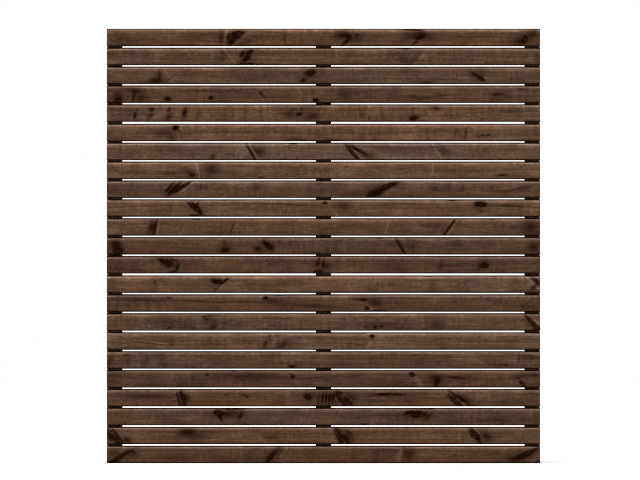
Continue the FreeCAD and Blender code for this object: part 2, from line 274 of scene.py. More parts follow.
# Each mark runs from one point to another, as (x1, h1, x2, h2, half width, strength in percent), by kind.
# x is from the panel's middle and h from the slat's lowest edge, in mm.
# knot: crisp and dark, shade: soft and dark, line: crisp and light, glow: soft and light,
# warm, red, ash: soft patches of orange, red or grey wood, dots: rows of planer dents.
MARK_KINDS = ("knot", "shade", "line", "glow", "warm", "red", "ash", "dots")
MARKS = {
    1: {
        "knot": (
            (-392, 50, -340, 60, 8, 85), (-396, 28, -392, 50, 6, 75), (-384, 30, -344, 46, 8, 60),
            (-394, 12, -372, 22, 8, 75), (-350, 50, -324, 60, 6, 80), (98, 26, 114, 42, 10, 95),
            (76, 4, 108, 30, 6, 85), (130, 34, 142, 54, 4, 50), (384, 28, 412, 42, 7, 85),
            (370, 8, 394, 24, 5, 65), (828, 18, 840, 42, 9, 95), (328, 69, 405, 67, 3, 80),
        ),
        "shade": (
            (-428, 5, -422, 66, 10, 50), (-400, 20, -340, 44, 18, 60), (-350, 6, -300, 24, 10, 35),
            (-162, 14, -158, 54, 5, 40), (45, 42, 118, 50, 17, 60), (120, 16, 165, 50, 14, 30),
            (325, 42, 430, 44, 17, 50), (385, 58, 450, 40, 12, 40), (775, 18, 852, 26, 22, 50),
            (840, 50, 897, 50, 24, 45), (-897, 30, -800, 34, 30, 25),
        ),
        "line": ((-411, 10, -402, 62, 4, 80), (-366, 12, -318, 48, 3.5, 80)),
        "warm": ((-780, 42, -430, 42, 22, 50), (-290, 34, 40, 38, 28, 60), (440, 22, 760, 26, 18, 50)),
    },
    2: {
        "knot": (
            (-432, 48, -402, 54, 5, 45), (-344, 38, -328, 58, 6, 80), (-318, 48, -294, 62, 7, 80),
            (-334, 12, -308, 36, 7, 75), (-345, 6, -280, 4, 5, 80), (322, 12, 366, 12, 5, 45),
            (300, 69, 372, 69, 3, 60),
        ),
        "shade": (
            (-600, 50, -560, 30, 12, 20), (-440, 20, -395, 40, 16, 35), (-352, 30, -290, 40, 22, 50),
            (300, 30, 362, 30, 20, 35), (362, 10, 400, 50, 8, 30),
        ),
        "line": ((-412, 64, -362, 4, 4, 55), (384, 4, 430, 64, 3, 60)),
        "glow": ((-768, 10, -758, 60, 12, 30), (-692, 8, -686, 60, 10, 30)),
        "warm": ((420, 30, 480, 40, 18, 35),),
        "red": ((0, 38, 280, 36, 26, 60), (-270, 40, 0, 36, 24, 35)),
        "ash": ((-897, 34, -450, 34, 30, 35), (560, 34, 897, 34, 30, 20)),
    },
    3: {
        "knot": (
            (-682, 10, -676, 50, 5, 32), (-640, 52, -618, 58, 4, 40), (-650, 14, -630, 24, 5, 40),
            (-76, 46, -40, 58, 7, 70), (-58, 38, -30, 50, 6, 60), (-98, 10, -72, 20, 7, 60),
            (-12, 34, 4, 56, 5, 40), (642, 26, 664, 17, 7, 95), (606, 50, 640, 34, 6, 38),
            (28, 70, 92, 70, 3, 60),
        ),
        "shade": (
            (-735, 12, -655, 16, 16, 60), (-690, 54, -672, 30, 16, 42), (-100, 26, -20, 50, 18, 45),
            (600, 44, 660, 30, 16, 50), (400, 6, 455, 8, 5, 45), (-440, 20, 0, 10, 10, 15),
        ),
        "line": ((-655, 62, -632, 8, 4, 50),),
        "glow": ((664, 24, 690, 50, 6, 25),),
        "warm": ((560, 14, 650, 18, 7, 30),),
        "ash": ((-600, 34, 897, 34, 40, 55),),
    },
    4: {
        "knot": (
            (-862, 4, -838, 16, 8, 85), (-788, 8, -784, 40, 6, 70), (-652, 16, -638, 16, 9, 100),
            (-474, 21, -456, 21, 7, 95), (-270, 46, -240, 24, 4, 70), (-272, 34, -250, 44, 3, 55),
            (-258, 58, -250, 44, 3, 40), (-42, 8, -22, 10, 9, 95), (396, 18, 452, 24, 4, 55),
            (440, 23, 520, 33, 3, 45), (274, 2, 277, 28, 2, 35), (700, 34, 730, 36, 3, 50),
            (806, 58, 835, 56, 5, 55),
        ),
        "shade": (
            (-875, 28, -828, 28, 24, 50), (-815, 54, -745, 44, 14, 55), (-770, 8, -740, 30, 12, 45),
            (-658, 16, -632, 16, 8, 45), (-476, 21, -454, 21, 6, 45), (-44, 10, -20, 10, 8, 45),
            (-580, 54, -470, 52, 4, 35), (345, 26, 402, 24, 10, 45), (450, 40, 500, 36, 8, 25),
            (690, 36, 745, 36, 7, 45), (60, 30, 120, 30, 14, 35), (-60, 50, -30, 40, 12, 20),
        ),
        "glow": ((790, 38, 812, 42, 9, 45),),
        "red": ((-450, 40, 300, 36, 30, 25),),
    },
    5: {
        "knot": (
            (-783, 12, -778, 40, 6, 80), (-782, 46, -768, 50, 5, 45), (-722, 50, -702, 54, 8, 80),
            (-645, 42, -634, 60, 6, 75), (-586, 36, -566, 48, 8, 60), (-578, 54, -568, 60, 4, 55),
            (-140, 44, -112, 56, 6, 45), (-112, 28, -88, 36, 6, 65), (-96, 50, -82, 58, 5, 45),
            (-30, 40, -14, 56, 6, 40), (0, 30, 10, 50, 6, 40), (366, 34, 372, 62, 4, 45),
            (358, 12, 388, 18, 8, 80), (404, 44, 424, 40, 4, 35), (570, 70, 590, 70, 2.5, 60),
        ),
        "shade": (
            (-728, 12, -704, 40, 12, 50), (-652, 6, -630, 34, 12, 55), (-584, 8, -568, 50, 10, 55),
            (-522, 12, -514, 50, 7, 45), (-175, 30, -118, 34, 16, 45), (-70, 18, -15, 30, 16, 50),
            (-120, 20, -60, 50, 24, 25), (155, 24, 170, 50, 8, 25), (350, 16, 400, 20, 14, 40),
            (445, 58, 485, 54, 8, 50), (720, 44, 800, 42, 6, 30),
        ),
        "line": ((-106, 42, -102, 60, 3, 40),),
        "warm": ((-560, 46, -180, 40, 16, 65), (20, 44, 200, 36, 22, 60), (380, 30, 640, 36, 28, 65)),
        "ash": ((-830, 20, -520, 14, 14, 35), (835, 34, 897, 34, 34, 45)),
    },
    6: {
        "knot": (
            (-622, 54, -602, 56, 8, 95), (-606, 46, -592, 40, 4, 45), (545, 24, 549, 60, 3, 55),
            (586, 14, 592, 54, 5, 50), (646, 20, 672, 26, 5, 45), (674, 24, 692, 28, 5, 50),
            (490, 40, 494, 56, 2.5, 30),
        ),
        "shade": (
            (-622, 54, -602, 56, 8, 45), (-700, 34, -610, 40, 22, 35), (-645, 12, -610, 14, 14, 40),
            (-170, 12, -60, 6, 6, 35), (625, 22, 700, 26, 10, 30), (0, 6, 60, 4, 5, 50),
        ),
        "line": ((-608, 42, -592, 2, 4, 35),),
        "warm": ((600, 52, 720, 48, 14, 50),),
        "red": ((-600, 36, 640, 34, 36, 55), (-800, 30, -640, 30, 24, 30)),
        "ash": ((715, 34, 897, 34, 34, 50), (-880, 34, -640, 44, 20, 40)),
    },
    7: {
        "knot": (
            (-318, 62, -282, 2, 4.5, 85), (-296, 60, -268, 26, 3, 45), (94, 62, 148, 0, 7, 95),
            (108, 60, 168, 30, 7, 85), (438, 60, 470, 50, 4, 50), (-142, 69, -110, 69, 3, 75),
        ),
        "shade": (
            (-290, 40, -235, 30, 20, 50), (-466, 2, -452, 26, 8, 55), (150, 26, 215, 8, 18, 42),
            (470, 52, 530, 30, 14, 30), (140, 60, 330, 50, 8, 20), (-700, 44, -480, 40, 10, 20),
            (600, 44, 820, 50, 10, 20),
        ),
        "line": ((-304, 62, -272, 2, 3, 70), (112, 50, 166, 0, 3.5, 75), (454, 62, 492, 2, 5, 80)),
        "glow": ((-350, 10, -318, 30, 10, 35), (170, 10, 440, 14, 10, 25)),
        "red": ((-100, 10, -10, 16, 10, 40),),
        "ash": ((-897, 34, 897, 34, 60, 80),),
    },
    8: {
        "knot": (
            (-558, 12, -528, 18, 8, 60), (-555, 2, -500, 2, 4, 55), (-376, 14, -364, 14, 4, 35),
            (-268, 6, -244, 8, 4, 55), (-290, 44, -260, 46, 3, 35), (-160, 18, -150, 20, 4, 40),
            (-40, 40, -20, 46, 4, 30), (82, 44, 104, 54, 3, 45), (98, 54, 116, 50, 3, 35),
            (722, 16, 770, 18, 5, 50), (812, 46, 836, 56, 4, 50),
        ),
        "shade": (
            (-580, 40, -530, 16, 14, 40), (-500, 40, -430, 36, 30, 48), (-680, 24, -600, 22, 8, 30),
            (400, 50, 444, 30, 12, 30), (700, 14, 780, 18, 10, 25), (-420, 56, -200, 50, 6, 25),
            (-860, 30, -700, 26, 14, 20),
        ),
        "line": ((-524, 64, -512, 2, 3.5, 60), (-548, 60, -540, 36, 3, 35), (456, 62, 448, 4, 3.5, 55)),
        "glow": ((-840, 50, -620, 44, 12, 16),),
        "red": ((-640, 34, -545, 34, 26, 50), (-440, 30, 380, 30, 30, 30)),
        "ash": ((460, 50, 897, 50, 14, 25),),
    },
    9: {
        "knot": (
            (-652, 26, -622, 64, 5, 80), (-642, 14, -600, 58, 5, 85), (-622, 22, -556, 64, 6, 90),
            (-512, 34, -506, 56, 4, 45), (234, 30, 276, 56, 10, 100), (250, 50, 304, 62, 7, 90),
            (186, 4, 244, 24, 10, 90), (655, 28, 662, 48, 5, 40), (585, 69, 640, 69, 2, 40),
        ),
        "shade": (
            (-655, 20, -580, 55, 16, 50), (-530, 50, -480, 40, 12, 25), (-300, 44, -258, 44, 16, 40),
            (180, 14, 240, 40, 16, 60), (250, 40, 330, 60, 10, 40), (452, 30, 470, 50, 9, 40),
            (500, 42, 530, 50, 9, 30), (570, 24, 584, 50, 8, 30), (690, 30, 700, 52, 7, 35),
            (740, 26, 860, 48, 7, 45), (60, 14, 200, 20, 8, 35),
        ),
        "line": ((-598, 18, -542, 60, 3, 60), (-668, 10, -660, 60, 2.5, 35), (-680, 10, -674, 60, 2, 30)),
        "warm": ((-480, 14, -250, 20, 16, 35),),
        "ash": ((-897, 34, -560, 34, 40, 40), (-230, 40, 700, 44, 26, 55)),
    },
    10: {
        "knot": (
            (-564, 62, -524, 30, 6, 75), (-544, 58, -500, 8, 7, 85), (-532, 46, -516, 60, 5, 60),
            (-556, 6, -490, 6, 6, 70), (-4, 59, 16, 57, 5, 90), (30, 40, 48, 20, 4, 45),
            (148, 32, 164, 36, 3, 40), (626, 52, 650, 60, 8, 95), (640, 56, 672, 52, 9, 100),
            (640, 20, 662, 24, 5, 45), (516, 69, 548, 69, 2.5, 90),
        ),
        "shade": (
            (-560, 40, -500, 30, 20, 50), (50, 46, 118, 40, 24, 42), (620, 40, 680, 50, 16, 40),
            (690, 48, 820, 44, 6, 50), (260, 54, 470, 50, 4, 35), (-300, 54, -60, 50, 4, 40),
            (-640, 10, -630, 60, 6, 25),
        ),
        "line": ((-560, 36, -530, 14, 3, 35), (22, 50, 62, 0, 4, 70), (654, 34, 672, 44, 3, 40)),
        "warm": (
            (-880, 34, -570, 30, 30, 80), (-470, 30, 20, 30, 30, 70), (130, 26, 640, 24, 30, 85),
            (800, 34, 897, 34, 34, 60),
        ),
        "ash": ((50, 40, 125, 40, 24, 60), (680, 40, 820, 44, 16, 50)),
    },
    11: {
        "knot": (
            (-706, 2, -690, 62, 6, 95), (-388, 6, -366, 58, 4, 50), (-376, 46, -360, 60, 4, 45),
            (-545, 69, -514, 68, 2.5, 90), (-442, 3, -420, 3, 3, 50), (498, 2, 542, 62, 5, 90),
            (355, 69, 385, 69, 2, 50), (684, 69, 710, 69, 2.5, 85),
        ),
        "shade": (
            (-722, 10, -704, 62, 11, 60), (540, 50, 570, 60, 8, 35), (815, 34, 897, 34, 36, 50),
            (380, 44, 480, 44, 8, 25),
        ),
        "line": (
            (-688, 2, -682, 62, 3.5, 55), (-384, 2, -352, 62, 4, 40), (262, 14, 270, 54, 3, 40),
            (513, 2, 556, 62, 4, 80),
        ),
        "glow": ((254, 8, 268, 58, 5, 55), (40, 50, 70, 44, 8, 20)),
        "warm": ((-340, 40, -20, 40, 24, 55),),
        "red": ((-680, 30, -400, 30, 26, 30), (0, 36, 250, 36, 26, 50)),
        "ash": ((-897, 34, -730, 34, 30, 40),),
    },
    12: {
        "knot": (
            (-866, 10, -836, 12, 13, 100), (-424, 14, -396, 20, 7, 50), (-248, 54, -212, 22, 8, 90),
            (-232, 44, -214, 30, 6, 80), (304, 62, 338, 2, 6, 90), (294, 56, 322, 52, 5, 60),
            (512, 40, 518, 56, 3, 45), (222, 69, 248, 69, 2.5, 85),
        ),
        "shade": (
            (-890, 44, -830, 44, 22, 60), (-870, 20, -820, 14, 18, 50), (-432, 20, -380, 24, 14, 60),
            (-425, 50, -395, 50, 12, 40), (-292, 24, -252, 22, 14, 60), (-252, 50, -205, 20, 16, 50),
            (340, 30, 380, 30, 16, 35), (530, 30, 545, 50, 8, 20), (840, 30, 897, 30, 20, 55),
            (250, 50, 300, 40, 10, 25), (-80, 6, 60, 10, 8, 35),
        ),
        "line": ((-318, 66, -258, 28, 4, 35),),
        "glow": ((-262, 44, -244, 30, 5, 30),),
        "warm": ((-800, 44, -440, 44, 18, 45),),
        "red": ((600, 34, 800, 34, 24, 30),),
        "ash": ((-210, 34, 900, 30, 36, 50),),
    },
    13: {
        "knot": (
            (-684, 62, -648, 42, 8, 80), (-656, 54, -626, 44, 8, 75), (-640, 64, -606, 50, 4, 60),
            (-610, 8, -600, 44, 6, 70), (-644, 2, -606, 10, 6, 75), (-648, 24, -628, 46, 5, 60),
            (-26, 56, -10, 62, 5, 60), (-36, 6, -6, 12, 8, 85), (-4, 10, 2, 60, 4, 60),
            (656, 32, 680, 32, 8, 95), (640, 70, 690, 70, 2.5, 60), (-688, 70, -640, 70, 3, 70),
        ),
        "shade": (
            (-680, 50, -600, 30, 20, 50), (-36, 30, -12, 50, 14, 60), (0, 30, 24, 32, 16, 50),
            (476, 10, 494, 50, 12, 35), (640, 44, 690, 34, 20, 45), (638, 4, 652, 40, 8, 40),
            (-120, 50, -40, 50, 8, 20),
        ),
        "line": ((-14, 26, -8, 62, 3, 40),),
        "red": ((-560, 36, 640, 34, 40, 65), (-897, 34, -700, 30, 26, 40), (100, 20, 200, 14, 10, 50)),
        "ash": ((-650, 20, -606, 30, 16, 80),),
        "dots": ((-450, 16, -350, 18, 14, 80), (-160, 20, -120, 20, 14, 60), (180, 18, 350, 18, 17, 80)),
    },
    14: {
        "knot": (
            (-465, 56, -430, 40, 8, 65), (-440, 54, -418, 46, 7, 55), (-422, 40, -396, 60, 5, 95),
            (-462, 12, -432, 20, 7, 45), (862, 64, 897, 36, 8, 75), (886, 4, 897, 12, 5, 50),
            (408, 70, 452, 70, 2.5, 75), (692, 70, 724, 70, 2.5, 65),
        ),
        "shade": (
            (-706, 20, -694, 56, 7, 40), (-698, 10, -690, 30, 6, 30), (-475, 50, -405, 40, 16, 50),
            (262, 36, 300, 36, 5, 25), (440, 10, 460, 50, 12, 30), (690, 60, 760, 56, 6, 20),
            (850, 10, 890, 34, 10, 55),
        ),
        "line": ((-438, 6, -402, 48, 3, 55), (-482, 56, -450, 28, 3, 40), (846, 62, 892, 16, 4, 60)),
        "glow": ((560, 30, 840, 26, 16, 20),),
        "warm": ((-897, 40, -620, 36, 30, 70), (-350, 44, 360, 38, 26, 70)),
        "red": ((-470, 10, -430, 12, 10, 60),),
        "ash": ((-640, 30, -480, 26, 24, 50), (420, 34, 850, 34, 34, 70)),
    },
    15: {
        "knot": (
            (-650, 59, -628, 58, 4, 65), (-250, 58, -230, 58, 6, 85), (158, 50, 178, 50, 5, 100),
            (170, 18, 190, 14, 8, 80), (200, 2, 250, 6, 6, 80), (648, 63, 656, 63, 3, 60),
            (-205, 70, -158, 70, 3, 75),
        ),
        "shade": (
            (-260, 50, -180, 44, 12, 40), (-600, 48, -420, 40, 3, 50), (-470, 38, -260, 44, 3, 40),
            (-340, 42, -240, 36, 3, 40), (-150, 30, 60, 18, 10, 40), (-880, 52, -620, 46, 8, 40),
            (110, 54, 170, 50, 6, 45), (180, 44, 245, 30, 18, 50), (820, 20, 897, 14, 12, 35),
        ),
        "line": ((176, 34, 212, 4, 4, 60),),
        "glow": ((-140, 46, -120, 50, 7, 30), (240, 50, 330, 46, 8, 20)),
        "red": ((-600, 30, -260, 30, 24, 55), (20, 20, 130, 20, 14, 50), (250, 24, 640, 30, 20, 40)),
        "ash": ((-897, 34, -700, 34, 24, 30), (660, 50, 897, 50, 14, 30)),
    },
    16: {
        "knot": (
            (-508, 60, -442, 64, 3, 60), (-504, 58, -478, 46, 4, 55), (-650, 8, -630, 14, 4, 60),
            (-252, 3, -222, 3, 4, 60), (206, 14, 222, 16, 6, 60), (236, 18, 250, 20, 5, 60),
            (166, 14, 178, 16, 5, 40), (838, 62, 884, 16, 8, 90), (866, 22, 897, 4, 9, 95),
            (470, 70, 520, 70, 2, 50), (-897, 69, -850, 69, 2.5, 50),
        ),
        "shade": (
            (-500, 40, -460, 50, 12, 35), (-474, 4, -440, 24, 13, 55), (150, 12, 260, 14, 8, 30),
            (820, 40, 870, 14, 12, 30), (440, 20, 500, 20, 20, 35), (-250, 54, -120, 50, 6, 30),
            (-800, 40, -520, 44, 12, 20),
        ),
        "line": ((-492, 54, -462, 20, 3, 35), (850, 62, 897, 26, 4, 60)),
        "glow": ((-436, 10, -430, 50, 6, 40), (700, 16, 820, 20, 12, 20)),
        "red": ((-420, 14, -100, 14, 14, 35),),
        "ash": ((-897, 34, 897, 30, 40, 45),),
    },
    17: {
        "knot": (
            (-236, 54, -214, 62, 4, 50), (-228, 34, -216, 54, 6, 45), (-480, 2, -450, 3, 3, 40),
            (192, 56, 212, 57, 8, 90), (198, 34, 204, 52, 4, 40), (640, 54, 652, 54, 3.5, 60),
        ),
        "shade": (
            (-248, 8, -232, 44, 9, 50), (-196, 10, -140, 34, 18, 50), (-205, 54, -180, 62, 6, 45),
            (-780, 34, -660, 20, 3, 35), (-740, 44, -620, 28, 3, 30), (-640, 30, -620, 34, 20, 25),
            (110, 24, 190, 18, 4, 30), (614, 10, 622, 60, 5, 20),
        ),
        "glow": ((-206, 28, -198, 62, 5, 60), (180, 4, 202, 36, 8, 55)),
        "red": ((-560, 36, -270, 36, 24, 40), (120, 40, 520, 36, 20, 30), (-640, 44, -600, 40, 16, 30)),
        "ash": ((-897, 34, -640, 34, 34, 50), (380, 34, 897, 34, 34, 40), (-240, 30, 90, 30, 30, 35)),
    },
    18: {
        "knot": (
            (-142, 10, -116, 12, 6, 90), (-152, 22, -140, 14, 3, 40), (728, 16, 772, 16, 5, 55),
            (806, 24, 812, 50, 4, 50),
        ),
        "shade": (
            (-886, 4, -880, 62, 7, 60), (-830, 54, -806, 56, 6, 45), (-820, 10, -800, 50, 10, 25),
            (-745, 6, -728, 56, 10, 35), (-676, 20, -668, 60, 7, 40), (-680, 20, -640, 16, 10, 35),
            (815, 54, 897, 46, 8, 35), (400, 30, 420, 56, 8, 25),
        ),
        "glow": ((-770, 8, -764, 60, 8, 25),),
        "red": ((-480, 36, 620, 36, 34, 50),),
        "ash": ((-860, 30, -560, 30, 28, 35),),
        "dots": (
            (-520, 22, -345, 24, 16, 60), (80, 20, 120, 20, 14, 50), (185, 18, 225, 18, 14, 70),
            (325, 22, 465, 22, 17, 85), (615, 20, 655, 20, 12, 50), (685, 20, 725, 20, 12, 60),
            (780, 22, 815, 22, 12, 60),
        ),
    },
    19: {
        "knot": (
            (-490, 52, -474, 50, 6, 55), (-498, 58, -470, 60, 3, 40), (-136, 50, -120, 42, 7, 90),
            (-148, 56, -120, 54, 3, 55), (-384, 69, -358, 69, 2.5, 85), (360, 60, 374, 48, 8, 95),
            (462, 2, 476, 34, 7, 85), (814, 28, 832, 6, 7, 95), (800, 42, 822, 26, 4, 50),
            (118, 70, 146, 70, 2.5, 60),
        ),
        "shade": (
            (-445, 44, -150, 46, 16, 40), (358, 58, 376, 50, 7, 40), (440, 40, 500, 30, 20, 60),
            (505, 46, 590, 38, 6, 60), (770, 44, 850, 52, 10, 40), (850, 56, 897, 50, 8, 45),
            (120, 50, 180, 54, 5, 30), (-897, 10, -400, 12, 8, 20), (180, 56, 350, 54, 5, 25),
        ),
        "line": ((-480, 34, -462, 4, 5, 35), (374, 46, 412, 2, 8, 70)),
        "glow": ((-122, 34, -100, 10, 7, 45),),
        "warm": ((150, 30, 340, 28, 18, 55), (560, 26, 790, 26, 16, 55), (850, 20, 897, 24, 16, 60)),
        "red": ((-110, 20, 0, 26, 14, 50),),
        "ash": ((-760, 44, -500, 44, 16, 25),),
    },
    20: {
        "knot": (
            (-606, 52, -592, 2, 6, 85), (-592, 62, -574, 2, 9, 100), (-324, 44, -308, 36, 6, 55),
            (-182, 36, -172, 48, 4, 40), (-76, 44, -52, 34, 9, 80), (-22, 6, -18, 60, 3, 60),
            (-8, 4, -2, 62, 4, 75), (8, 10, 12, 60, 3, 60), (22, 4, 28, 58, 3.5, 65),
            (38, 14, 44, 62, 3.5, 60), (50, 58, 76, 50, 9, 95), (60, 42, 94, 2, 8, 95),
            (84, 38, 118, 4, 9, 85), (224, 50, 270, 52, 4.5, 85), (268, 54, 330, 48, 3.5, 70),
            (518, 46, 572, 2, 9, 100), (520, 62, 604, 10, 7, 90),
        ),
        "shade": (
            (-580, 50, -550, 20, 14, 50), (-820, 44, -620, 40, 12, 40), (-408, 40, -400, 56, 5, 40),
            (-345, 50, -320, 46, 8, 25), (-88, 50, -40, 40, 18, 50), (-14, 40, 60, 40, 24, 50),
            (90, 52, 140, 30, 14, 45), (165, 46, 350, 50, 7, 50), (560, 44, 625, 20, 14, 40),
        ),
        "line": (
            (-597, 50, -585, 8, 2, 60), (14, 6, 18, 56, 2, 40), (72, 32, 104, 2, 3, 50),
            (526, 52, 592, 2, 3.5, 80),
        ),
        "glow": ((-556, 40, -536, 50, 8, 30), (-412, 34, -370, 46, 12, 30), (680, 36, 700, 50, 10, 20)),
        "warm": ((-560, 40, -140, 36, 30, 85), (445, 32, 515, 34, 26, 75), (130, 24, 440, 20, 16, 45)),
    },
    21: {
        "knot": (
            (-452, 56, -422, 52, 9, 95), (-436, 52, -422, 22, 6, 95), (-340, 6, -310, 4, 5, 60),
            (-415, 68, -330, 68, 3, 80), (334, 48, 366, 58, 6, 85), (364, 52, 394, 40, 8, 100),
            (384, 56, 412, 52, 5, 80), (410, 36, 430, 54, 4, 55), (405, 70, 450, 70, 3, 85),
            (150, 5, 182, 6, 4, 60),
        ),
        "shade": (
            (-460, 44, -350, 50, 16, 55), (-352, 22, -332, 58, 9, 60), (330, 40, 440, 46, 20, 55),
            (420, 20, 450, 50, 9, 40), (200, 44, 330, 46, 8, 30), (480, 20, 880, 24, 14, 25),
        ),
        "line": (
            (-362, 30, -350, 60, 3, 35), (-410, 8, -350, 14, 3, 35), (-396, 16, -356, 26, 2.5, 30),
            (354, 4, 358, 40, 3, 35), (388, 8, 408, 42, 3.5, 50), (372, 6, 390, 30, 3, 40),
        ),
        "warm": ((-897, 40, -820, 36, 26, 50),),
        "ash": ((-800, 34, 897, 34, 45, 60),),
    },
    22: {
        "knot": (
            (-890, 46, -842, 2, 10, 95), (-872, 58, -832, 6, 6, 95), (-896, 64, -874, 50, 4, 70),
            (-645, 70, -615, 70, 2.5, 70), (-110, 70, -50, 71, 2, 60), (54, 64, 78, 0, 12, 95),
            (68, 42, 108, 2, 11, 80), (90, 60, 124, 40, 3, 50), (610, 60, 648, 12, 11, 100),
            (600, 58, 622, 50, 4, 70), (160, 12, 180, 14, 2.5, 30), (330, 6, 344, 8, 3, 30),
        ),
        "shade": (
            (-830, 24, -796, 8, 14, 60), (-600, 52, -530, 54, 12, 60), (-620, 30, -480, 36, 22, 40),
            (-250, 26, -180, 34, 14, 35), (80, 54, 130, 20, 18, 50), (650, 44, 700, 20, 20, 55),
            (-897, 40, -880, 10, 10, 40),
        ),
        "line": (
            (-880, 52, -848, 12, 2.5, 50), (76, 60, 100, 30, 3, 40), (96, 60, 150, 14, 2.5, 35),
            (628, 62, 656, 34, 3.5, 70), (652, 38, 658, 2, 3.5, 75),
        ),
        "glow": ((-286, 60, -262, 24, 6, 35), (-830, 50, -660, 50, 12, 20)),
        "warm": ((-480, 40, -20, 36, 28, 65), (130, 36, 600, 36, 34, 60)),
        "red": ((-800, 30, -640, 34, 22, 40),),
        "ash": ((680, 34, 897, 34, 30, 45),),
    },
    23: {
        "knot": (
            (-884, 0, -808, 48, 8, 95), (-846, 24, -786, 58, 6, 85), (-800, 56, -778, 42, 5, 75),
            (-238, 0, -184, 62, 9, 90), (-204, 10, -168, 62, 4, 65), (496, 36, 516, 46, 5, 35),
            (538, 36, 560, 48, 5, 35), (330, 64, 352, 60, 3, 40), (800, 20, 897, 66, 8, 80),
            (880, 2, 897, 10, 6, 80),
        ),
        "shade": (
            (-897, 40, -840, 44, 20, 35), (-820, 30, -760, 40, 14, 35), (-897, 4, -840, 4, 8, 60),
            (-250, 20, -210, 40, 14, 35), (125, 14, 132, 54, 4, 30), (150, 20, 156, 56, 4, 25),
            (332, 36, 372, 34, 30, 42), (740, 24, 800, 26, 16, 30), (780, 14, 870, 40, 14, 65),
            (180, 56, 320, 50, 10, 25), (-700, 20, -520, 16, 10, 20),
        ),
        "line": ((-216, 2, -180, 60, 3, 45), (318, 20, 322, 62, 2.5, 30)),
        "glow": ((308, 10, 322, 62, 8, 100), (850, 6, 897, 30, 7, 35)),
        "warm": ((-160, 30, 320, 24, 28, 60), (400, 36, 760, 36, 26, 55), (-780, 20, -620, 20, 16, 30)),
    },
}

# A knot mark that starts above this height is a chip in the upper front arris: a dent, with a dark dash
# painted on it like a knot.
CHIP_HEIGHT = 66
# Dark streaks that run along a knot: their pitch and length (mm), how far they bend, how much they show.
STREAK_PITCH = 10.0
STREAK_LENGTH = 9.0
STREAK_BEND = 1.6
STREAK_SHARE = 0.16
# How fast a soft mark fades, and how strongly and how far a knot pushes the grain aside.
SOFT_FADE = 0.9
GRAIN_GRIP = 0.7
GRAIN_FADE = 0.35


def slat_marks(number):
    """The marks of a slat by kind, with their strength as a share of 1."""
    own = MARKS[number]
    return {kind: [(*mark[:-1], mark[-1] / 100) for mark in own.get(kind, ())] for kind in MARK_KINDS}


def mark_reach(mark, x, height):
    """How far points lie along and across a mark, in its own half sizes, and its half length in mm."""
    x1, h1, x2, h2, half_width, _ = mark
    half_length = max(math.hypot(x2 - x1, h2 - h1) / 2, half_width)
    angle = math.atan2(h2 - h1, x2 - x1)
    dx = x - (x1 + x2) / 2
    dh = height - (h1 + h2) / 2
    along = (dx * math.cos(angle) + dh * math.sin(angle)) / half_length
    across = (dh * math.cos(angle) - dx * math.sin(angle)) / half_width
    return along, across, half_length


def busy_ranges(marks, kinds, margin):
    """Where along the board its crisp marks lie, with a margin in half widths."""
    return [
        (min(x1, x2) - margin * half_width, max(x1, x2) + margin * half_width)
        for kind in kinds for x1, _, x2, _, half_width, _ in marks[kind]
    ]


def mark_fields(x, height, marks):
    """What the marks give at each point (mm): a share of each kind, and the push on the grain (m)."""
    field = {kind: np.zeros(x.shape) for kind in (*MARK_KINDS, "push")}
    for kind, mark in ((kind, mark) for kind in MARK_KINDS for mark in marks[kind]):
        x1, h1, _, h2, half_width, force = mark
        along, across, half_length = mark_reach(mark, x, height)
        distance = np.hypot(along, across)
        if kind not in ("knot", "line"):
            share = force * np.exp(-SOFT_FADE * distance ** 2)
            field[kind] = field[kind] + share * (1 - field[kind])
            continue
        share = force * np.clip(1 - distance / 2, 0, 1)
        if kind == "knot" and h1 < CHIP_HEIGHT:
            bend = STREAK_BEND * np.sin(along * half_length / STREAK_LENGTH + x1)
            streaks = np.sin(2 * math.pi * across * half_width / STREAK_PITCH + bend + h1)
            share = share * (1 - STREAK_SHARE + STREAK_SHARE * streaks)
            push = GRAIN_GRIP * (height - (h1 + h2) / 2) * force * np.exp(-GRAIN_FADE * distance ** 2)
            field["push"] -= push * MM
        field[kind] = np.maximum(field[kind], share)
    return field


# ---------------------------------------------------------------- stained pine

# Noises of the wood: scale per metre along x, y and z, detail and roughness.
PINE_NOISES = {
    "wander": ((1.6, 4.0, 4.0), 2.0, 0.55),
    "rings": ((260.0, 5.0, 1.0), 2.0, 0.60),
    "fibres": ((12.0, 520.0, 520.0), 3.0, 0.60),
    "streaks": ((3.2, 95.0, 95.0), 3.0, 0.55),
    "blotches": ((9.0, 16.0, 16.0), 3.0, 0.60),
    "mottle": ((60.0, 80.0, 80.0), 3.0, 0.60),
    "smudges": ((75.0, 9.0, 12.0), 3.0, 0.60),
    "smudged": ((6.0, 3.0, 9.0), 1.0, 0.55),
    "ragged": ((90.0, 260.0, 260.0), 3.0, 0.60),
    "hue": ((5.0, 12.0, 12.0), 2.0, 0.50),
    "flecks": ((95.0, 150.0, 150.0), 3.0, 0.65),
}
TONE_WEIGHTS = {"rings": 0.46, "fibres": 0.50, "streaks": 0.52, "blotches": 0.68, "mottle": 0.62}
SMUDGE_WEIGHT = 0.60
WANDER_REACH = 0.030
ALONG_PITH = 0.02
RAGGEDNESS = 0.85
HALO_SHARE = 0.50
DOT_SHARE = 0.95
REDDER_SHARE = 0.30
GREYER_SHARE = 0.45
DARK_ROUGHNESS = 0.15
FIBRE_ROUGHNESS = 0.22
SUNK_SHARE = 0.6
PINE_DARK = linear(38, 21, 11)
PINE_MIDDLE = linear(74, 52, 36)
PINE_PALE = linear(108, 82, 64)
TINT_WARM = (1.18, 0.98, 0.74, 1.0)
TINT_RED = (1.08, 0.93, 0.92, 1.0)
TINT_ASH = (0.91, 1.03, 1.12, 1.0)
# Gain of the glow field: pale wood marks, and the painted highlight on the upper front arris.
PALE_AND_HIGHLIGHT_GAIN = (1.95, 2.20, 2.65, 1.0)
LINE_GAIN = (1.62, 1.72, 1.85, 1.0)
SHADE_GAIN = 1.75
SHADE_COLOUR = linear(30, 15, 7)
